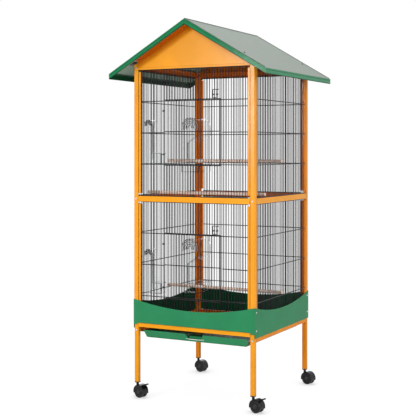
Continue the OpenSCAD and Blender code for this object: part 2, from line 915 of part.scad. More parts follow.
module lever_lug(s) {
    x0 = s > 0 ? lug_x : -lug_x - lug_t;
    neck = 0.4 * lug_d;
    union() {
        rod_x(x0, x0 + lug_t, lever_y, lever_z, lug_d);
        translate([x0, trail, axle_z]) rotate([lever_tilt, 0, 0])
            box([0, hood_r - hood_t, -neck], [lug_t, lever_r, neck]);
    }
}

// Two wheels on one axle
module caster_wheels(c) {
    bevel = 2.5;
    rim = 6;
    sink = 1.6;
    hub_d = 24;
    hub_sink = 0.4;
    r = wheel_d / 2;
    color(PLASTIC_BLACK) at_leg(c) for (s = [-1, 1])
        translate([0, trail, axle_z]) rotate([0, 90 * s, 0]) translate([0, 0, web_half + wheel_gap])
            rotate_extrude($fn = 96) polygon([
                [axle_d / 2 + run_gap, 0],
                [r - bevel, 0],
                [r, bevel],
                [r, wheel_w - bevel],
                [r - bevel, wheel_w],
                [r - rim, wheel_w],
                [r - rim - sink, wheel_w - sink],
                [hub_d / 2 + sink, wheel_w - sink],
                [hub_d / 2, wheel_w - hub_sink],
                [axle_d / 2 + run_gap, wheel_w - hub_sink],
            ]);
}

// Foot lever on a pin between the fork's lugs
module brake_lever(c) {
    arm = lug_x - 0.5;
    arm_l = 9;
    pad = 10;
    pad_y = [5, 19];
    hub_d = 7;
    color(PLASTIC_BLACK) at_leg(c) translate([0, lever_y, lever_z]) rotate([lever_up, 0, 0]) union() {
        rod_x(-lug_x - lug_t, lug_x + lug_t, 0, 0, lever_pin_d);
        rod_x(-arm, arm, 0, 0, hub_d);
        box([-arm, 0, -lever_t / 2], [arm, arm_l, lever_t / 2]);
        box([-pad, pad_y[0], -lever_t / 2], [pad, pad_y[1], lever_t / 2]);
    }
}

// Screws

// Pan-head screw along +y from its seat at y = 0
module screw(length) {
    rotate([-90, 0, 0]) cylinder(d = screw_d, h = length);
    rotate([90, 0, 0]) cylinder(d1 = head_d, d2 = head_d - 2.4, h = head_h);
}

module screws() {
    color(STEEL) {
        for (c = CORNERS) at_corner(c) {
            for (z = [z_mid_screw, z_top_screw])
                translate([half_w - screw_in, half_d + seat, z]) rotate([0, 0, 180]) screw(8);
            translate([half_w - screw_in, half_d - angle_t, z_leg_screw])
                rotate([0, 0, 180]) screw(leg_w + 4);
            for (z = Z_APRON_SCREWS)
                translate([half_w + seat + apron_t + seat, apron_screw_y, z]) rotate([0, 0, 90]) screw(6);
        }
        for (c = CORNERS)
            translate([c[0] * roof_screw_x, c[1] * roof_screw_y, roof_z(roof_screw_x, -seat)])
                rotate([0, c[0] * roof_pitch, 0]) rotate([-90, 0, 0]) screw(8);
    }
}

post(FL);  // post_front_left
post(FR);  // post_front_right
post(RL);  // post_rear_left
post(RR);  // post_rear_right
leg(FL);  // leg_front_left
leg(FR);  // leg_front_right
leg(RL);  // leg_rear_left
leg(RR);  // leg_rear_right
bottom_rail("front");  // bottom_rail_front
bottom_rail("rear");  // bottom_rail_rear
runner_rail("left");  // bottom_rail_left
runner_rail("right");  // bottom_rail_right
mid_rail("front");  // mid_rail_front
mid_rail("rear");  // mid_rail_rear
mid_rail("left");  // mid_rail_left
mid_rail("right");  // mid_rail_right
top_rail("front");  // top_rail_front
top_rail("rear");  // top_rail_rear
top_rail("left");  // top_rail_left
top_rail("right");  // top_rail_right
gable("front");  // gable_front
gable("rear");  // gable_rear
roof_sheet(-1);  // roof_sheet_left
roof_sheet(1);  // roof_sheet_right
roof_frame(-1);  // roof_frame_left
roof_frame(1);  // roof_frame_right
face_apron("front");  // apron_front
face_apron("rear");  // apron_rear
side_apron("left");  // apron_left
side_apron("right");  // apron_right
upper_panel_front();
upper_panel("rear");  // upper_panel_rear
upper_panel("left");  // upper_panel_left
upper_panel("right");  // upper_panel_right
lower_panel_front();
lower_panel("rear", z_side_top + row_edge);  // lower_panel_rear
lower_panel("left", z_side_top + row_edge);  // lower_panel_left
lower_panel("right", z_side_top + row_edge);  // lower_panel_right
door([UP_ROWS[1], UP_ROWS[2], UP_ROWS[3]]);  // door_upper
door([LOW_ROWS[0], LOW_ROWS[1], LOW_ROWS[2]]);  // door_lower
latch(UP_ROWS[3]);  // latch_upper
latch(LOW_ROWS[2]);  // latch_lower
perch(0, UP_ROWS[1] + perch_d / 2 + 6);  // perch_upper
perch(-14 * bar_pitch, UP_ROWS[0] + perch_d / 2 + 4);  // perch_middle
perch(0, LOW_ROWS[0] + perch_d / 2 + 4);  // perch_lower
seed_feeders();
drinkers();
tray();
leg_plugs();
caster_fork(FL);  // caster_fork_front_left
caster_fork(FR);  // caster_fork_front_right
caster_fork(RL);  // caster_fork_rear_left
caster_fork(RR);  // caster_fork_rear_right
caster_wheels(FL);  // caster_wheels_front_left
caster_wheels(FR);  // caster_wheels_front_right
caster_wheels(RL);  // caster_wheels_rear_left
caster_wheels(RR);  // caster_wheels_rear_right
brake_lever(FL);  // brake_lever_left
brake_lever(FR);  // brake_lever_right
screws();
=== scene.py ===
"""Looks of the flight bird cage: materials, small welded and moulded details, light and camera."""
import json
import math

import bmesh
import bpy
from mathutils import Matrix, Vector


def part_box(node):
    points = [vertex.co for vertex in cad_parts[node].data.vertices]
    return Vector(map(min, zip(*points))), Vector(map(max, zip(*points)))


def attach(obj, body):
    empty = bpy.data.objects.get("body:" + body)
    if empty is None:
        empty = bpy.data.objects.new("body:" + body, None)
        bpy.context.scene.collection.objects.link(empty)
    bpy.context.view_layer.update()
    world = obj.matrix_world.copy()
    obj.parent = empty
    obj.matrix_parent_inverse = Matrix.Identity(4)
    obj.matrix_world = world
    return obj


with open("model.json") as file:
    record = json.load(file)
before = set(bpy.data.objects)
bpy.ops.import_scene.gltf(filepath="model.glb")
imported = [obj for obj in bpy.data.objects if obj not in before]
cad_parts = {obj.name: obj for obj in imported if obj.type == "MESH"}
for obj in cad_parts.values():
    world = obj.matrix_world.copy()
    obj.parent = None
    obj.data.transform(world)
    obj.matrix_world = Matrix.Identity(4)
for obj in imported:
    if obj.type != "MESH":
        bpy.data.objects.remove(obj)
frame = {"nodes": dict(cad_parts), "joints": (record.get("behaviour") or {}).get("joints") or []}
nodes = frame["nodes"]
joints = {joint["name"]: joint for joint in frame["joints"]}
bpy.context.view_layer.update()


def far_corner(node):
    """Right, rear and upper limits of a node's box, to a tenth of a millimetre."""
    return [round(limit, 4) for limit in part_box(node)[1]]


# Sizes of the frame in metres
HALF_W, HALF_D = far_corner("post_rear_right")[:2]  # half the cage over its posts
ROOF_X, ROOF_Y = far_corner("roof_frame_right")[:2]  # half the roof over its edging
GABLE_X = far_corner("gable_front")[0]  # half the width of a gable
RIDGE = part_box("roof_sheet_right")[1][2]  # height of the roof's ridge
ROOF_PITCH = math.radians(30.5)
EDGE_H = 0.02  # height of the roof's edging
STRIP_Y = HALF_D + 0.03  # beyond the strips that join the roof to the gables
ROOF_SCREWS = 1.48  # height that only the roof's screws reach
SHEET = 0.0015  # thickness of the folded steel
POST_MAIN = 0.0226  # width of a post's main face
POST_LEG = 0.034  # width of a post's main face and stile
APRON_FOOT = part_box("apron_front")[0][2] + SHEET  # just above the aprons' lower edge
TRAY_X, TRAY_Y = 0.27, 0.268  # half the tray behind its front edge
ANY_DEPTH = 1  # more than half the depth of anything
CORNERS = ("front_left", "front_right", "rear_left", "rear_right")
UP = Vector((0, 0, 1))


# Shader nodes

def add(tree, kind, values=None, **settings):
    """New shader node; a value that is a socket is linked."""
    node = tree.nodes.new("ShaderNode" + kind)
    for key, value in settings.items():
        setattr(node, key, value)
    for key, value in (values or {}).items():
        if isinstance(value, bpy.types.NodeSocket):
            tree.links.new(value, node.inputs[key])
        else:
            node.inputs[key].default_value = value
    return node


def new_material(name, **constants):
    """Material whose shader has these constants, with its tree, its shader and its coordinates."""
    material = bpy.data.materials.new(name)
    material.use_nodes = True
    tree = material.node_tree
    shader = tree.nodes["Principled BSDF"]
    for key, value in constants.items():
        shader.inputs[key.replace("_", " ")].default_value = value
    coords = add(tree, "TexCoord")
    return material, tree, shader, coords


def connect(tree, shader, **sockets):
    """Links sockets to the shader's inputs of these names."""
    for key, socket in sockets.items():
        tree.links.new(socket, shader.inputs[key.replace("_", " ")])


def math_node(tree, operation, a, b=0.0, clamp=False):
    """Result of a sum on two values or sockets."""
    return add(tree, "Math", {0: a, 1: b}, operation=operation, use_clamp=clamp).outputs[0]


def close_to(tree, value, place, reach):
    """1 where a value lies within reach of a place, 0 elsewhere."""
    return add(tree, "Math", {0: value, 1: place, 2: reach}, operation="COMPARE").outputs[0]


def noise(tree, coords, scale, detail=2.0, stretch=(1, 1, 1)):
    """Noise from 0 to 1 with so many features to the metre."""
    spread = add(tree, "VectorMath", {0: coords, 1: stretch}, operation="MULTIPLY")
    texture = add(tree, "TexNoise", {"Vector": spread.outputs[0], "Scale": scale, "Detail": detail})
    return texture.outputs["Fac"]


def spread_range(tree, value, low, high, start=0.35, stop=0.65):
    """Carries the part of a value between start and stop to low and high."""
    node = add(tree, "MapRange", {"Value": value, "From Min": start, "From Max": stop,
                                  "To Min": low, "To Max": high})
    return node.outputs["Result"]


def mix(tree, factor, a, b, blend_type="MIX"):
    """Mixes two colours, each a socket or three channels."""
    node = add(tree, "Mix", data_type="RGBA", blend_type=blend_type)
    for socket, value in ((node.inputs[0], factor), (node.inputs[6], a), (node.inputs[7], b)):
        if isinstance(value, bpy.types.NodeSocket):
            tree.links.new(value, socket)
        else:
            socket.default_value = value if isinstance(value, float) else (*value, 1)
    return node.outputs[2]


def bump(tree, shader, height, strength, distance, normal=None):
    """Fine relief from a height, on top of a normal where one is given."""
    node = add(tree, "Bump", {"Height": height, "Strength": strength, "Distance": distance})
    if normal:
        tree.links.new(normal, node.inputs["Normal"])
    connect(tree, shader, Normal=node.outputs["Normal"])


def scaled(colour, factor):
    """Lighter or darker colour."""
    return tuple(channel * factor for channel in colour)


def blend(a, b, share):
    """Colour between two others."""
    return tuple(x + share * (y - x) for x, y in zip(a, b))


# Masks and painted shades of the coats

def place_of(tree, coords):
    """Sockets of the three object coordinates."""
    return add(tree, "SeparateXYZ", {0: coords.outputs["Object"]}).outputs


def under(tree, distance, limit):
    """1 where a distance to either side is under a limit."""
    return math_node(tree, "LESS_THAN", math_node(tree, "ABSOLUTE", distance), limit)


def within_mask(tree, coords, half_x, half_y):
    """1 where both distances from the middle are under these half sizes."""
    place = place_of(tree, coords)
    return math_node(tree, "MULTIPLY", under(tree, place["X"], half_x), under(tree, place["Y"], half_y))


def inside_mask(tree, coords, half_x, half_y):
    """1 on faces that look inwards or lie within these half sizes, 0 on faces that look out."""
    place = place_of(tree, coords)
    flat = add(tree, "CombineXYZ", {"X": place["X"], "Y": place["Y"]})
    outward = add(tree, "VectorMath", {0: flat.outputs[0]}, operation="NORMALIZE")
    facing = add(tree, "VectorMath", {0: outward.outputs[0], 1: coords.outputs["Normal"]},
                 operation="DOT_PRODUCT")
    turned = spread_range(tree, facing.outputs["Value"], low=-1, high=1, start=0.2, stop=-0.2)
    within = within_mask(tree, coords, half_x, half_y)
    return math_node(tree, "ADD", turned, within, clamp=True)


def crease_shade(tree, tone, dark, reach, depth):
    """Painted shade in the corners between faces, darkened by ambient occlusion."""
    closed = add(tree, "AmbientOcclusion", {"Distance": reach}, samples=8)
    factor = spread_range(tree, closed.outputs["AO"], low=depth, high=0, start=0.3, stop=0.9)
    return mix(tree, factor, tone, dark)


def edges(tree, tone, pale, radius, share):
    """Pale tone on bent and cut edges, partly wear and partly a painted highlight; returns the tone and
    the rounded normal.
    """
    rounded = add(tree, "Bevel", {"Radius": radius}, samples=4)
    geometry = add(tree, "NewGeometry")
    along = add(tree, "VectorMath", {0: rounded.outputs[0], 1: geometry.outputs["Normal"]},
                operation="DOT_PRODUCT")
    factor = spread_range(tree, along.outputs["Value"], low=share, high=0, start=0.85, stop=0.995)
    return mix(tree, factor, tone, pale), rounded.outputs[0]


def painted_inner_shade(inner, half_x=HALF_W, half_y=HALF_D):
    """Painted shade in another tone on faces that look into the cage."""
    wall = 0.8 * SHEET

    def shade(tree, coords, tone):
        return mix(tree, inside_mask(tree, coords, half_x - wall, half_y - wall), tone, inner)
    return shade


def stile_shade_lines(tree, coords):
    """1 along the steps between a post's face and its stiles, and along the stiles' outer edges, where
    painted shade lines go.
    """
    reach = 0.0015
    place = place_of(tree, coords)
    mask = 0.0
    for axis, half in (("X", HALF_W), ("Y", HALF_D)):
        across = math_node(tree, "ABSOLUTE", place[axis])
        for inset in (POST_MAIN, POST_LEG):
            line = close_to(tree, across, half - inset + reach, reach)
            mask = math_node(tree, "MAXIMUM", line, mask)
    return mask


def stile_shade_seams(dark):
    """Painted shade lines along the steps and edges of a post's stiles."""
    def shade(tree, coords, tone):
        return mix(tree, stile_shade_lines(tree, coords), tone, dark)
    return shade


def stile_sheen(tree, coords, dull):
    """Roughness that is lower on a post's drawn stiles and high in their seams."""
    place = place_of(tree, coords)
    in_x = under(tree, place["X"], HALF_W - POST_MAIN)
    in_y = under(tree, place["Y"], HALF_D - POST_MAIN)
    drawn = math_node(tree, "MAXIMUM", in_x, in_y)
    dull = math_node(tree, "MULTIPLY", dull, spread_range(tree, drawn, low=1, high=0.75, start=0, stop=1))
    seams = math_node(tree, "MULTIPLY", stile_shade_lines(tree, coords), 0.7)
    return math_node(tree, "MAXIMUM", dull, seams)


def roof_depth(tree, coords):
    """Distance below the plane of the roof's upper edges."""
    place = place_of(tree, coords)
    level = math_node(tree, "MULTIPLY", place["Z"], math.cos(ROOF_PITCH))
    out = math_node(tree, "MULTIPLY", math_node(tree, "ABSOLUTE", place["X"]), math.sin(ROOF_PITCH))
    return math_node(tree, "SUBTRACT", RIDGE * math.cos(ROOF_PITCH), math_node(tree, "ADD", level, out))


def verge_shade_lines(dark):
    """Painted shade lines below the rolled top edge and along the lower edge of the roof's edging."""
    below_roll, lower_edge = 0.0055, EDGE_H - 0.001

    def shade(tree, coords, tone):
        depth = roof_depth(tree, coords)
        for place, reach, share in ((below_roll, 0.0011, 0.6), (lower_edge, 0.0016, 0.9)):
            line = close_to(tree, depth, place, reach)
            tone = mix(tree, math_node(tree, "MULTIPLY", line, share), tone, dark)
        return tone
    return shade


def painted_verge_shadow(dark):
    """Painted shadow at the top of the gables, fading away from the verge."""
    top, foot = 0.012, 0.045

    def shade(tree, coords, tone):
        fade = spread_range(tree, roof_depth(tree, coords), low=0.85, high=0, start=top, stop=foot)
        return mix(tree, fade, tone, dark)
    return shade


def tone_above(height, colour):
    """Another tone above a height."""
    def shade(tree, coords, tone):
        above = math_node(tree, "GREATER_THAN", place_of(tree, coords)["Z"], height)
        return mix(tree, above, tone, colour)
    return shade


def tone_within(half_x, half_y, colour):
    """Another tone within these half sizes."""
    def shade(tree, coords, tone):
        return mix(tree, within_mask(tree, coords, half_x, half_y), tone, colour)
    return shade


# Materials

def powder_coat(name, colour, dark, *shades, gloss, rough=0.23, stiles=False):
    """Satin powder coat: cloudiness, orange-peel, painted shade in corners, pale edges partly worn and
    partly painted highlight, further tones.
    """
    white = (1, 1, 1)
    material, tree, shader, coords = new_material(name, Specular_IOR_Level=gloss)
    where = coords.outputs["Object"]
    # Painted shade in the corners between faces
    tone = crease_shade(tree, colour, dark, reach=0.008, depth=0.75)
    # Pale edges: partly wear, partly a painted highlight
    tone, rounded = edges(tree, tone, blend(colour, white, 0.15), radius=0.0008, share=0.3)
    for shade in shades:
        tone = shade(tree, coords, tone)
    clouds = spread_range(tree, noise(tree, where, scale=9), low=0, high=1)
    cloud_tone = mix(tree, clouds, scaled(white, 0.95), scaled(white, 1.04))
    tone = mix(tree, 1.0, tone, cloud_tone, "MULTIPLY")
    specks = noise(tree, where, scale=1100, detail=1)
    specks = spread_range(tree, specks, low=0, high=0.35, start=0.62, stop=0.75)
    tone = mix(tree, specks, tone, scaled(white, 0.8), "MULTIPLY")
    dull = spread_range(tree, noise(tree, where, scale=25), low=rough - 0.03, high=rough + 0.03)
    if stiles:
        dull = stile_sheen(tree, coords, dull)
    connect(tree, shader, Base_Color=tone, Roughness=dull)
    peel = noise(tree, where, scale=700, detail=1)
    bump(tree, shader, peel, strength=0.1, distance=0.0002, normal=rounded)
    return material


def roof_board():
    """Grey board with a fine mineral grain and faint weather marks down the slope."""
    grey, underside = (0.29, 0.33, 0.295), (0.26, 0.36, 0.29)
    material, tree, shader, coords = new_material("roof_board", Specular_IOR_Level=0.15, Roughness=0.75)
    where = coords.outputs["Object"]
    grain = spread_range(tree, noise(tree, where, scale=650), low=0, high=1, start=0.3, stop=0.7)
    tone = mix(tree, grain, scaled(grey, 0.8), scaled(grey, 1.18))
    marks = noise(tree, where, scale=14, detail=3, stretch=(1, 5, 1))
    marks = spread_range(tree, marks, low=0, high=0.5, start=0.5, stop=0.75)
    tone = mix(tree, marks, tone, scaled(grey, 0.88))
    facing = add(tree, "SeparateXYZ", {0: coords.outputs["Normal"]})
    below = math_node(tree, "LESS_THAN", facing.outputs["Z"], 0.0)
    connect(tree, shader, Base_Color=mix(tree, below, tone, underside))
    bump(tree, shader, grain, strength=0.25, distance=0.0003)
    return material


def coated_wire():
    """Gloss black dip coat, a little thicker in places."""
    black = (0.008, 0.008, 0.009)
    material, tree, shader, coords = new_material("black_wire", Specular_IOR_Level=0.2)
    where = coords.outputs["Object"]
    tone = mix(tree, noise(tree, where, scale=120), scaled(black, 0.7), scaled(black, 1.5))
    dull = spread_range(tree, noise(tree, where, scale=300), low=0.28, high=0.42)
    connect(tree, shader, Base_Color=tone, Roughness=dull)
    bump(tree, shader, noise(tree, where, scale=500), strength=0.2, distance=0.0002)
    return material


def perch_wood():
    """Pale turned dowel with long grain along its length and fine pores."""
    pale, dark = (0.95, 0.76, 0.66), (0.74, 0.5, 0.4)
    material, tree, shader, coords = new_material("perch_wood", Specular_IOR_Level=0.25, Roughness=0.6)
    where = coords.outputs["Object"]
    grain = noise(tree, where, scale=160, detail=4, stretch=(0.05, 1, 1))
    tone = mix(tree, spread_range(tree, grain, low=0, high=1, start=0.4, stop=0.7), pale, dark)
    pores = noise(tree, where, scale=900, stretch=(0.06, 1, 1))
    holes = spread_range(tree, pores, low=0, high=0.6, start=0.58, stop=0.7)
    connect(tree, shader, Base_Color=mix(tree, holes, tone, scaled(dark, 0.6)))
    bump(tree, shader, pores, strength=0.3, distance=0.0003)
    return material


def clear_plastic():
    """Clear moulded styrene with faint flow lines."""
    material, tree, shader, coords = new_material("clear_plastic", Transmission_Weight=1.0, IOR=1.04)
    where = coords.outputs["Object"]
    tone = mix(tree, noise(tree, where, scale=30), (0.97, 0.985, 0.985), (1, 1, 1))
    dull = spread_range(tree, noise(tree, where, scale=60), low=0.03, high=0.09)
    connect(tree, shader, Base_Color=tone, Roughness=dull)
    bump(tree, shader, noise(tree, where, scale=40, stretch=(1, 1, 0.3)), strength=0.15, distance=0.002)
    return material


def rib_plastic(name, dark, pale):
    """Opaque edges and ribs of the clear mouldings where they are thick: painted shade where refraction
    makes them look dark, or a painted highlight where they catch the light.
    """
    material, tree, shader, coords = new_material(name, Specular_IOR_Level=0.5, Roughness=0.15)
    tone = mix(tree, noise(tree, coords.outputs["Object"], scale=60), dark, pale)
    connect(tree, shader, Base_Color=tone)
    return material


def moulded_plastic(name, colour, rough):
    """Moulded nylon or rubber with a fine spark-eroded grain."""
    material, tree, shader, coords = new_material(name, Specular_IOR_Level=0.3)
    where = coords.outputs["Object"]
    tone = mix(tree, noise(tree, where, scale=90), scaled(colour, 0.75), scaled(colour, 1.35))
    dull = spread_range(tree, noise(tree, where, scale=200), low=rough - 0.06, high=rough + 0.08)
    connect(tree, shader, Base_Color=tone, Roughness=dull)
    bump(tree, shader, noise(tree, where, scale=1500, detail=1), strength=0.2, distance=0.0002)
    return material


def plated_steel(name, dark, pale):
    """Plated steel with fine turning marks and dull patches."""
    material, tree, shader, coords = new_material(name, Metallic=1.0)
    where = coords.outputs["Object"]
    tone = mix(tree, noise(tree, where, scale=400), dark, pale)
    dull = spread_range(tree, noise(tree, where, scale=700), low=0.3, high=0.5)
    connect(tree, shader, Base_Color=tone, Roughness=dull)
    return material


# Colours of the coats
ORANGE = (0.93, 0.36, 0.012)
# Darker copies of the orange, painted shade on the side rails and the rear legs
SHADED_SIDE_ORANGE = (0.88, 0.285, 0.01)
SHADED_REAR_ORANGE = (0.86, 0.27, 0.008)
# Painted shade in the corners of the orange coats
CREASE_SHADE_MAROON = (0.12, 0.02, 0.004)
# Painted shade lines along the posts' stiles, softer on the front left post
SEAM_SHADE_BROWN = (0.42, 0.13, 0.012)
SOFT_SEAM_SHADE = (0.78, 0.29, 0.012)
# Painted shade on the orange faces inside the cage
INNER_SHADE_BROWN = (0.62, 0.15, 0.016)
INNER_POST_SHADE = (1, 0.26, 0.012)
INNER_SHADE_MAROON = (0.14, 0.02, 0.004)
INNER_SHADE_RED = (0.8, 0.17, 0.012)
GABLE_SHADE = (0.58, 0.13, 0.005)
GREEN = (0.03, 0.247, 0.102)
ROOF_GREEN = (0.016, 0.2, 0.078)
EAVE_GREEN = (0.06, 0.28, 0.14)
# Painted shade of the green coats in corners, in lines on the verges and inside the tray
DEEP_SHADE_GREEN = (0.004, 0.03, 0.012)
# Painted shade on the green faces inside the cage
INNER_SHADE_GREEN = (0.006, 0.11, 0.042)
SHADED_GREEN = (0.005, 0.06, 0.024)

orange_frame = powder_coat("orange_frame", ORANGE, CREASE_SHADE_MAROON, painted_inner_shade(INNER_SHADE_BROWN), gloss=0.16)
# Gables: painted shadow below the verge and painted shade on inner faces
gable_coat = powder_coat("gable_coat", ORANGE, CREASE_SHADE_MAROON, painted_verge_shadow(GABLE_SHADE), painted_inner_shade(INNER_SHADE_BROWN),
                         gloss=0.18)
# The front posts differ in how dark the painted shade lines along their stiles are
front_left_post = powder_coat("front_left_post", ORANGE, CREASE_SHADE_MAROON, stile_shade_seams(SOFT_SEAM_SHADE),
                              painted_inner_shade(INNER_SHADE_MAROON), gloss=0.22, stiles=True)
front_right_post = powder_coat("front_right_post", ORANGE, CREASE_SHADE_MAROON, stile_shade_seams(SEAM_SHADE_BROWN),
                               painted_inner_shade(INNER_SHADE_MAROON), gloss=0.22, stiles=True)
rear_post = powder_coat("rear_post", ORANGE, CREASE_SHADE_MAROON, stile_shade_seams(SEAM_SHADE_BROWN), painted_inner_shade(INNER_POST_SHADE),
                        gloss=0.17, stiles=True)
# Legs: a slightly darker orange as painted shade, and a redder painted shade inside the cage above the
# aprons' lower edge
orange_leg = powder_coat("orange_leg", scaled(ORANGE, 0.94), CREASE_SHADE_MAROON, tone_above(APRON_FOOT, INNER_SHADE_RED),
                         gloss=0.1)
rear_leg = powder_coat("rear_leg", SHADED_REAR_ORANGE, CREASE_SHADE_MAROON, tone_above(APRON_FOOT, INNER_SHADE_RED), gloss=0.05)
orange_rail = powder_coat("orange_rail", ORANGE, CREASE_SHADE_MAROON, painted_inner_shade(INNER_SHADE_RED), gloss=0.1)
side_rail = powder_coat("side_rail", SHADED_SIDE_ORANGE, CREASE_SHADE_MAROON, painted_inner_shade(INNER_SHADE_RED), gloss=0.05)
green_apron = powder_coat("green_apron", GREEN, DEEP_SHADE_GREEN, painted_inner_shade(INNER_SHADE_GREEN), gloss=0.05)
# Eaves are a lighter green than verges; the verges carry painted shade lines, inner faces painted shade,
# and the gable strips the gables' painted shade tone
green_roof = powder_coat("green_roof", EAVE_GREEN, DEEP_SHADE_GREEN,
                         tone_within(ROOF_X - SHEET, ANY_DEPTH, ROOF_GREEN),
                         verge_shade_lines(DEEP_SHADE_GREEN), painted_inner_shade(SHADED_GREEN, ROOF_X, ROOF_Y),
                         tone_within(HALF_W, STRIP_Y, GABLE_SHADE), gloss=0.05, rough=0.13)
# Painted shade inside the tray
green_tray = powder_coat("green_tray", GREEN, DEEP_SHADE_GREEN, tone_within(TRAY_X, TRAY_Y, DEEP_SHADE_GREEN),
                         gloss=0.1)
black_wire = coated_wire()
caster_plastic = moulded_plastic("caster_plastic", (0.004, 0.004, 0.005), rough=0.3)
wheel_plastic = moulded_plastic("wheel_plastic", (0.004, 0.004, 0.005), rough=0.35)
worn_nylon = moulded_plastic("worn_nylon", (0.014, 0.014, 0.015), rough=0.3)
matt_nylon = moulded_plastic("matt_nylon", (0.003, 0.003, 0.004), rough=0.75)
grey_seal = moulded_plastic("grey_seal", (0.035, 0.04, 0.036), rough=0.6)
zinc = plated_steel("screw_steel", (0.55, 0.55, 0.54), (0.78, 0.77, 0.74))
dull_zinc = plated_steel("nut_steel", (0.16, 0.15, 0.13), (0.26, 0.25, 0.22))
dark_zinc = plated_steel("roof_screw_steel", (0.03, 0.03, 0.03), (0.06, 0.06, 0.06))
# Bare steel for the tray pull's edge: partly wear, partly a painted highlight
worn_edge_glint = plated_steel("worn_edge_glint", (0.75, 0.77, 0.75), (0.92, 0.93, 0.92))
# Painted shade and painted highlight tones for the clear feeders' ribs
painted_dark_rib = rib_plastic("painted_dark_rib", (0.02, 0.022, 0.024), (0.07, 0.075, 0.08))
painted_glint_rib = rib_plastic("painted_glint_rib", (0.8, 0.82, 0.83), (0.93, 0.94, 0.94))

# The first entry that fits the start of a node's name counts
NODE_MATERIALS = [
    (("post_front_left",), front_left_post),
    (("post_front_right",), front_right_post),
    (("post_rear",), rear_post),
    (("mid_rail_", "top_rail_"), orange_frame),
    (("gable_",), gable_coat),
    (("leg_front",), orange_leg),
    (("leg_rear",), rear_leg),
    (("bottom_rail_left", "bottom_rail_right"), side_rail),
    (("bottom_rail_",), orange_rail),
    (("apron_",), green_apron),
    (("roof_frame_",), green_roof),
    (("tray",), green_tray),
    (("roof_sheet_",), roof_board()),
    (("upper_panel_", "lower_panel_", "door_", "latch_"), black_wire),
    (("perch_",), perch_wood()),
    (("seed_feeders", "drinkers"), clear_plastic()),
    (("caster_wheels_",), wheel_plastic),
    (("brake_lever_",), matt_nylon),
    (("caster_fork_", "leg_plugs"), caster_plastic),
    (("screws",), zinc),
]


def dress_nodes():
    """Gives each node of the frame its material."""
    for name, obj in nodes.items():
        material = next(m for starts, m in NODE_MATERIALS if name.startswith(starts))
        if not obj.material_slots:
            obj.data.materials.append(material)
        for slot in obj.material_slots:
            slot.material = material


# Shapes for small pieces

def solids(name):
    """Points of each separate solid of a node; points of its faces that lie together count as one."""
    mesh = nodes[name].data
    place = [tuple(round(c, 5) for c in vertex.co) for vertex in mesh.vertices]
    root = {point: point for point in place}

    def find(point):
        while root[point] != point:
            root[point] = root[root[point]]
            point = root[point]
        return point

    for edge in mesh.edges:
        a, b = (find(place[index]) for index in edge.vertices)
        root[a] = b
    groups = {}
    for point in root:
        groups.setdefault(find(point), []).append(Vector(point))
    return list(groups.values())


def box_of(points):
    """Lowest and highest corner of the box around points."""
    lo = Vector(tuple(min(p[k] for p in points) for k in range(3)))
    hi = Vector(tuple(max(p[k] for p in points) for k in range(3)))
    return lo, hi


def end_centre(points, axis):
    """Middle of the face at the end of a solid that an axis points to."""
    same_face = 0.0001
    top = max(p.dot(axis) for p in points)
    face = [p for p in points if top - p.dot(axis) < same_face]
    return sum(face, Vector()) / len(face)


def new_piece(name, shapes, material, body):
    """One object of several shapes, each a list of points and a list of faces."""
    points, faces = [], []
    for shape_points, shape_faces in shapes:
        faces += [[index + len(points) for index in face] for face in shape_faces]
        points += shape_points
    mesh = bpy.data.meshes.new(name)
    mesh.from_pydata(points, [], faces)
    mesh.shade_smooth()
    mesh.materials.append(material)
    piece = bpy.data.objects.new(name, mesh)
    bpy.context.scene.collection.objects.link(piece)
    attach(piece, body)
    return piece


def bead(points, normal, radius, sides=8, closed=False):
    """Round bead along a line of points that lies across a normal, capped or joined to its own start."""
    count = len(points)
    ring_points, faces = [], []
    for k, point in enumerate(points):
        before = points[k - 1] if closed or k > 0 else point
        after = points[(k + 1) % count] if closed or k < count - 1 else point
        side = (after - before).cross(normal).normalized()
        for j in range(sides):
            turn = 2 * math.pi * j / sides
            ring_points.append(point + radius * (math.cos(turn) * normal + math.sin(turn) * side))
    for k in range(count if closed else count - 1):
        ring, following = k * sides, (k + 1) % count * sides
        for j in range(sides):
            beside = (j + 1) % sides
            faces.append([ring + j, ring + beside, following + beside, following + j])
    if not closed:
        faces.append(list(range(sides - 1, -1, -1)))
        faces.append([len(ring_points) - sides + j for j in range(sides)])
    return ring_points, faces


def arc(centre, radius, start, stop, steps=24):
    """Points of an arc in a plane across the depth of the cage, its angles in degrees from +X."""
    turns = [math.radians(start + (stop - start) * k / steps) for k in range(steps + 1)]
    return [centre + radius * Vector((math.cos(turn), 0, math.sin(turn))) for turn in turns]


def lathe(profile, base, axis, sides=40, height=None):
    """Closed round shape around an axis from (radius, height) pairs; height() may press in a pattern."""
    turn_to = axis.to_track_quat("Z", "Y").to_matrix()
    points, faces = [], []
    for r, h in profile:
        for j in range(sides):
            turn = 2 * math.pi * j / sides
            x, y = r * math.cos(turn), r * math.sin(turn)
            points.append(base + turn_to @ Vector((x, y, height(x, y, h) if height else h)))
    for k in range(len(profile) - 1):
        for j in range(sides):
            a, b = k * sides + j, k * sides + (j + 1) % sides
            faces.append([a, b, b + sides, a + sides])
    faces.append(list(range(sides - 1, -1, -1)))
    faces.append([(len(profile) - 1) * sides + j for j in range(sides)])
    return points, faces


def unit_ball():
    """Points and faces of a coarse ball of radius 1 around the origin."""
    ball = bmesh.new()
    bmesh.ops.create_icosphere(ball, subdivisions=1, radius=1)
    points = [vertex.co.copy() for vertex in ball.verts]
    faces = [[vertex.index for vertex in face.verts] for face in ball.faces]
    ball.free()
    return points, faces


# Small pieces

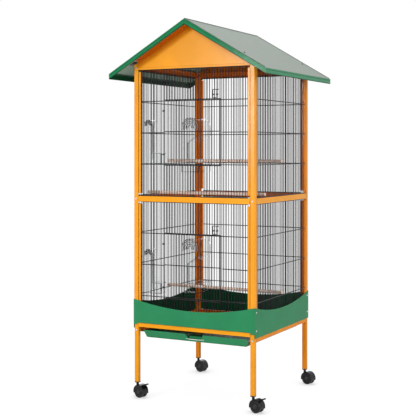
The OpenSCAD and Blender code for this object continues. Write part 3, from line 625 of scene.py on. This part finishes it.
def add_welds(name, body):
    """Nuggets of melted coat where the bars of a wire panel lie on its cross wires."""
    size, reach, shortest_wire = 0.0016, 0.0004, 0.05
    wires = [box_of(points) for points in solids(name)]
    bars = [(lo, hi) for lo, hi in wires if hi.z - lo.z > shortest_wire]
    rows = [(lo, hi) for lo, hi in wires if max(hi.x - lo.x, hi.y - lo.y) > shortest_wire]
    ball, faces = unit_ball()
    shapes = []
    for bar_lo, bar_hi in bars:
        for row_lo, row_hi in rows:
            lo = [max(a, b) - reach for a, b in zip(bar_lo, row_lo)]
            hi = [min(a, b) + reach for a, b in zip(bar_hi, row_hi)]
            if all(a < b for a, b in zip(lo, hi)):
                middle = (Vector(lo) + Vector(hi)) / 2
                shapes.append(([middle + size * point for point in ball], faces))
    new_piece("welds_" + name, shapes, black_wire, body)


def screw_axis(points):
    """Outward direction of a screw from where it sits."""
    proud = 0.001
    lo, hi = box_of(points)
    middle = (lo + hi) / 2
    if hi.z > ROOF_SCREWS:
        return Vector((math.copysign(math.sin(ROOF_PITCH), middle.x), 0, math.cos(ROOF_PITCH)))
    if max(abs(lo.x), abs(hi.x)) > HALF_W + proud:
        return Vector((math.copysign(1, middle.x), 0, 0))
    return Vector((0, math.copysign(1, middle.y), 0))


def cross_recess(depth, arm, width):
    """Height over a head with a cross pressed into it."""
    def height(x, y, h):
        a, b = sorted((abs(x), abs(y)))
        return h - depth if a < width and b < arm else h
    return height


def screw_head(points, axis):
    """Domed head with a cross recess over the plain head of a screw."""
    rim, rise, steps = 0.0008, 0.0022, 12
    sink, overlap, tip = 0.0022, 0.0003, 0.0001
    centre = end_centre(points, axis)
    out = [(p - centre) - (p - centre).dot(axis) * axis for p in points]
    radius = max(v.length for v in out) + overlap
    turns = [math.pi / 2 * k / steps for k in range(steps)]
    dome = [(radius * math.cos(t), rim + rise * math.sin(t)) for t in turns]
    profile = [(radius, 0), *dome, (tip, rim + rise)]
    recess = cross_recess(depth=0.0009, arm=0.55 * radius, width=0.0007)
    return lathe(profile, centre - sink * axis, axis, sides=48, height=recess)


def add_screw_heads():
    """Heads of the frame's screws in plated steel, those on the roof darker."""
    frame_heads, roof_heads = [], []
    for points in solids("screws"):
        axis = screw_axis(points)
        heads = roof_heads if axis.z > 0 else frame_heads
        heads.append(screw_head(points, axis))
    new_piece("screw_heads", frame_heads, zinc, "cage")
    new_piece("roof_screw_heads", roof_heads, dark_zinc, "cage")


def add_nuts():
    """Hexagon nuts on the inner ends of the frame's screws."""
    radius, thick, chamfer, tip = 0.0043, 0.0028, 0.0004, 0.0001
    overlap = 0.0005
    face = 0.85 * radius
    profile = [(face, 0), (radius, chamfer), (radius, thick - chamfer), (face, thick), (tip, thick)]
    shapes = []
    for points in solids("screws"):
        axis = screw_axis(points)
        shapes.append(lathe(profile, end_centre(points, -axis) + overlap * axis, -axis, sides=6))
    new_piece("screw_nuts", shapes, dull_zinc, "cage").data.shade_flat()


def add_rafter_shade_clips():
    """Dark clips under the roof sheets that close the ends of the rafters; they are dark pieces put where
    there is only shade beyond the gables' ends.
    """
    gap, depth, thick = 0.0005, 0.0037, 0.003
    outer_x, outer_y = 0.3, HALF_D + 0.024
    faces = [[0, 1, 3, 2], [4, 6, 7, 5], [0, 4, 5, 1], [2, 3, 7, 6], [0, 2, 6, 4], [1, 5, 7, 3]]
    shapes = []
    for side in (-1, 1):
        for end in (-1, 1):
            points = [Vector((side * x, end * y, RIDGE - x * math.tan(ROOF_PITCH) - depth - drop))
                      for x in (GABLE_X + gap, outer_x)
                      for y in (HALF_D + gap, outer_y)
                      for drop in (0, thick)]
            shapes.append((points, faces))
    clips = new_piece("rafter_shade_clips", shapes, wheel_plastic, "cage")
    clips.data.shade_flat()
    rounding = clips.modifiers.new("rounding", "BEVEL")
    rounding.width = 0.0006
    rounding.segments = 2


def wheel_axle(corner):
    """Middle and direction of a caster's axle."""
    spin = joints["wheels_%s_spin" % corner]
    return Vector(spin["pos_m"]), Vector(spin["axis"]).normalized()


def add_hub_caps(corner):
    """Domed caps over the axle ends of a caster."""
    face, radius, tip = 0.0161, 0.0105, 0.0002
    profile = [(radius, 0), (radius, 0.0006), (0.9 * radius, 0.0011), (0.82 * radius, 0.0007),
               (0.74 * radius, 0.0009), (0.5 * radius, 0.0016), (0.25 * radius, 0.0019), (tip, 0.002)]
    middle, axis = wheel_axle(corner)
    shapes = [lathe(profile, middle + side * face * axis, side * axis) for side in (-1, 1)]
    new_piece("hub_caps_" + corner, shapes, worn_nylon, "wheels_" + corner)


def add_wheel_rings(corner):
    """Raised rings on the outer faces of a caster's wheels."""
    face, line, steps = 0.0163, 0.0007, 40
    middle, axis = wheel_axle(corner)
    across = axis.cross(UP)
    turns = [2 * math.pi * k / steps for k in range(steps)]
    shapes = []
    for side in (-1, 1):
        centre = middle + side * face * axis
        for radius in (0.016, 0.0225):
            ring = [centre + radius * (math.cos(t) * across + math.sin(t) * UP) for t in turns]
            shapes.append(bead(ring, axis, line, closed=True))
    new_piece("wheel_rings_" + corner, shapes, worn_nylon, "wheels_" + corner)


def add_pedal_edges():
    """Thick rolled edges on the brake pedals."""
    radius, tip_depth, inset, end_gap = 0.0034, 0.0015, 0.002, 0.001
    for side in ("left", "right"):
        axle = wheel_axle("front_" + side)[1]
        trail = UP.cross(axle)
        lever = nodes["brake_lever_" + side]
        points = [lever.matrix_world @ vertex.co for vertex in lever.data.vertices]
        far = max(p.dot(trail) for p in points)
        tip = [p for p in points if far - p.dot(trail) < tip_depth]
        middle = sum(tip, Vector()) / len(tip) - inset * trail
        reach = max(abs((p - middle).dot(axle)) for p in tip) - end_gap
        shape = bead([middle - reach * axle, middle, middle + reach * axle], UP, radius)
        new_piece("pedal_edge_" + side, [shape], matt_nylon, "brake_" + side)


def add_feeder_ribs(node, depth, throat):
    """Edges and fan ribs on the near end walls of the clear feeders, and the rims of their troughs, in
    painted shade and painted highlight tones.
    """
    hook = 0.0092  # from a hook's outer side to the back wall
    trough = 0.045  # height of the trough
    straight = 0.038  # upright part of the front below the hood
    funnel = 0.036  # drop from there to the throat
    line = 0.0013  # radius of a rib
    fan_start, fan_stop = 200, -20
    dark_shares, step = (0.23, 0.43, 0.63, 0.83), 0.1
    across = Vector((0, 1, 0))
    radius = depth / 2
    dark, pale = [], []
    for points in solids(node):
        lo, hi = box_of(points)
        back, y, spring, rim = lo.x + hook, lo.y, hi.z - radius, lo.z + trough
        neck = back + throat
        front_foot = spring - straight
        centre = Vector((back + radius, y, spring))
        outline = [Vector((back, y, lo.z)), *arc(centre, radius, 180, 0)]
        outline += [Vector((x, y, z)) for x, z in ((back + depth, front_foot), (neck, front_foot - funnel),
                                                   (neck, rim), (hi.x, rim), (hi.x, lo.z))]
        dark.append(bead(outline, across, line, closed=True))
        for share in dark_shares:
            dark.append(bead(arc(centre, share * radius, fan_start, fan_stop), across, line))
            pale.append(bead(arc(centre, (share + step) * radius, fan_start, fan_stop), across, line))
        rim_corners = ((neck, y), (hi.x, y), (hi.x, hi.y), (neck, hi.y))
        pale.append(bead([Vector((*corner, rim)) for corner in rim_corners], UP, line, closed=True))
    new_piece(node + "_ribs", dark, painted_dark_rib, "cage")
    new_piece(node + "_glint_ribs", pale, painted_glint_rib, "cage")


def add_pull_bead():
    """Rolled edge of the tray's finger pull in bare steel, partly worn paint and partly a painted
    highlight where the lip catches the light.
    """
    half, reach, radius, steps = 0.044, 0.009, 0.0013, 24
    inset, rise = 0.0016, 0.0086
    front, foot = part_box("tray")[0][1:]
    bow = (half * half + reach * reach) / (2 * reach)
    swing = math.asin(half / bow)
    turns = [swing * (2 * k / steps - 1) for k in range(steps + 1)]
    points = [Vector((bow * math.sin(t), front + inset + bow * (1 - math.cos(t)), foot + rise))
              for t in turns]
    new_piece("tray_pull_bead", [bead(points, UP, radius)], worn_edge_glint, "tray")


def add_tray_hem():
    """Rolled hem along the lower front and side edges of the tray."""
    radius, sink, edge_height = 0.0025, 0.001, 0.0005
    points = [vertex.co for vertex in nodes["tray"].data.vertices]
    foot = min(p.z for p in points)
    lo, hi = box_of([p for p in points if p.z - foot < edge_height])
    left, right = lo.x + radius, hi.x - radius
    front, back = lo.y + radius, hi.y - radius
    corners = ((left, back), (left, front), (right, front), (right, back))
    path = [Vector((*corner, foot - sink)) for corner in corners]
    new_piece("tray_hem", [bead(path, UP, radius)], green_tray, "tray")


def add_roof_seals():
    """Dark sealing beads along the ridge and beside the verges."""
    inset, start, rise = 0.004, 0.002, 0.0008
    verge_radius, ridge_radius = 0.0012, 0.003
    run = (ROOF_X - inset) / math.cos(ROOF_PITCH)
    ends = [Vector((0, end * (ROOF_Y - inset), RIDGE)) for end in (-1, 1)]
    shapes = []
    for side in (-1, 1):
        slope = Vector((side * math.cos(ROOF_PITCH), 0, -math.sin(ROOF_PITCH)))
        out = Vector((side * math.sin(ROOF_PITCH), 0, math.cos(ROOF_PITCH)))
        for end in ends:
            top = end + rise * out
            shapes.append(bead([top + start * slope, top + run * slope], out, verge_radius))
    shapes.append(bead(ends, UP, ridge_radius))
    new_piece("roof_seals", shapes, grey_seal, "cage")


# Camera, background and light

def add_camera():
    """Level camera to the right of the front, its view shifted down to the cage."""
    data = bpy.data.cameras.new("camera")
    data.sensor_width = 36
    data.lens = 85.98
    data.shift_x = 0.0008
    data.shift_y = -0.1401
    data.clip_end = 100
    camera = bpy.data.objects.new("camera", data)
    camera.location = (2.011, -4.043, 1.09)
    camera.rotation_euler = (math.radians(90), 0, math.radians(27.36))
    bpy.context.scene.collection.objects.link(camera)
    bpy.context.scene.camera = camera


def add_area(name, azimuth, elevation, distance, size, power):
    """Area light aimed at the middle of the cage, its azimuth counted from the front towards the right."""
    a, e = math.radians(azimuth), math.radians(elevation)
    aim = Vector((0, 0, 0.9))
    away = Vector((math.sin(a) * math.cos(e), -math.cos(a) * math.cos(e), math.sin(e)))
    data = bpy.data.lights.new(name, "AREA")
    data.shape = "ELLIPSE"
    data.size, data.size_y = size
    data.energy = power
    light = bpy.data.objects.new(name, data)
    light.location = aim + distance * away
    light.rotation_euler = away.to_track_quat("Z", "Y").to_euler()
    bpy.context.scene.collection.objects.link(light)


def seen_directly(tree):
    """1 for rays from the camera, off glossy surfaces and through clear parts."""
    path = add(tree, "LightPath")
    seen = path.outputs["Is Camera Ray"]
    for kind in ("Is Glossy Ray", "Is Transmission Ray"):
        seen = math_node(tree, "MAXIMUM", seen, path.outputs[kind])
    return seen


def add_world():
    """White where it is seen, softer as light."""
    world = bpy.data.worlds.new("studio")
    bpy.context.scene.world = world
    world.use_nodes = True
    tree = world.node_tree
    background = tree.nodes["Background"]
    background.inputs["Color"].default_value = (1, 1, 1, 1)
    strength = spread_range(tree, seen_directly(tree), low=0.42, high=1, start=0, stop=1)
    connect(tree, background, Strength=strength)


def floor_white():
    """White with painted contact shadows near the cage, which also keeps the cage's real shadow there and
    is plain further away.
    """
    near, far = 0.7, 2.2
    material = bpy.data.materials.new("floor")
    material.use_nodes = True
    tree = material.node_tree
    tree.nodes.clear()
    diffuse = add(tree, "BsdfDiffuse", {"Color": (0.85, 0.85, 0.85, 1)})
    coords = add(tree, "TexCoord")
    away = add(tree, "VectorMath", {0: coords.outputs["Object"]}, operation="LENGTH").outputs["Value"]
    level = spread_range(tree, away, low=1.2, high=1, start=near, stop=far)
    # Painted contact shadow: the glow seen from the camera darkens with ambient occlusion
    closed = add(tree, "AmbientOcclusion", {"Distance": 0.15}, samples=16)
    painted_contact_shadow = spread_range(tree, closed.outputs["AO"], low=0.66, high=1, start=0.5, stop=0.97)
    level = math_node(tree, "MULTIPLY", level, painted_contact_shadow)
    glow = add(tree, "Emission", {"Color": (1, 1, 1, 1), "Strength": level})
    plain = spread_range(tree, away, low=0.75, high=1, start=near, stop=far)
    share = math_node(tree, "MULTIPLY", seen_directly(tree), plain)
    both = add(tree, "MixShader", {0: share, 1: diffuse.outputs[0], 2: glow.outputs[0]})
    add(tree, "OutputMaterial", {"Surface": both.outputs[0]})
    return material


def add_floor():
    """Round floor, much wider than the view."""
    mesh = bpy.data.meshes.new("floor")
    disc = bmesh.new()
    bmesh.ops.create_circle(disc, cap_ends=True, radius=30, segments=64)
    disc.to_mesh(mesh)
    disc.free()
    mesh.materials.append(floor_white())
    floor = bpy.data.objects.new("floor", mesh)
    bpy.context.scene.collection.objects.link(floor)


bpy.context.scene.view_settings.view_transform = "Standard"
add_camera()
add_world()
add_floor()
add_area("key", azimuth=-18.3, elevation=8.5, distance=5, size=(0.6, 1.3), power=68)
add_area("front", azimuth=30, elevation=6, distance=6, size=(2, 2), power=62)
add_area("fill", azimuth=75, elevation=20, distance=5, size=(2.5, 2.5), power=42)
add_area("top", azimuth=30, elevation=80, distance=4, size=(3, 3), power=80)
add_area("rear", azimuth=205, elevation=25, distance=5, size=(2.5, 2.5), power=45)
dress_nodes()
for name in nodes:
    if name.startswith(("upper_panel_", "lower_panel_")):
        add_welds(name, "cage")
    elif name.startswith("door_"):
        add_welds(name, name)
add_screw_heads()
add_nuts()
add_rafter_shade_clips()
for corner in CORNERS:
    add_hub_caps(corner)
    add_wheel_rings(corner)
add_pedal_edges()
add_feeder_ribs("seed_feeders", depth=0.088, throat=0.034)
add_feeder_ribs("drinkers", depth=0.042, throat=0.042)
add_pull_bead()
add_tray_hem()
add_roof_seals()
